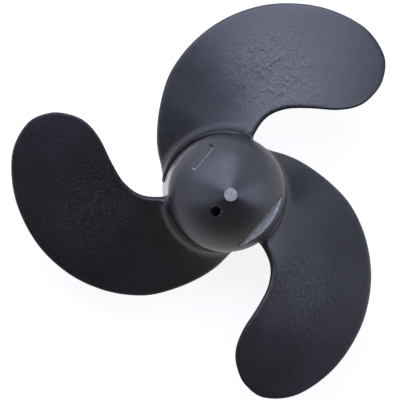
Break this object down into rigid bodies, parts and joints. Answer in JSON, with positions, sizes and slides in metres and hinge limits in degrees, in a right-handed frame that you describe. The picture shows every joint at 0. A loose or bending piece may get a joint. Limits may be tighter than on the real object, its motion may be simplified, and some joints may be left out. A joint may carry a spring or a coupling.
{
  "type": "small outboard motor propeller",
  "caption": "One-piece black moulded plastic propeller for a small outboard motor: swept wide blades, round hub with an open ribbed front, shaft bore and a closed cone.",
  "frame": {"origin": "on the shaft axis, in the plane of the hub's open front face, which is the face it stands on", "axes": "+Z along the shaft axis, from the open front to the closed cone; seen from the cone side +X is to the right, +Y is up, and one blade leaves the hub upwards before its sweep to the right"},
  "size_m": [0.162, 0.172, 0.074],
  "materials": {
    "black_glass_filled_nylon": "matt moulded black with faint flow marks"
  },
  "bodies": {
    "root": {"propeller_moulding": "black_glass_filled_nylon"}
  },
  "joints": []
}
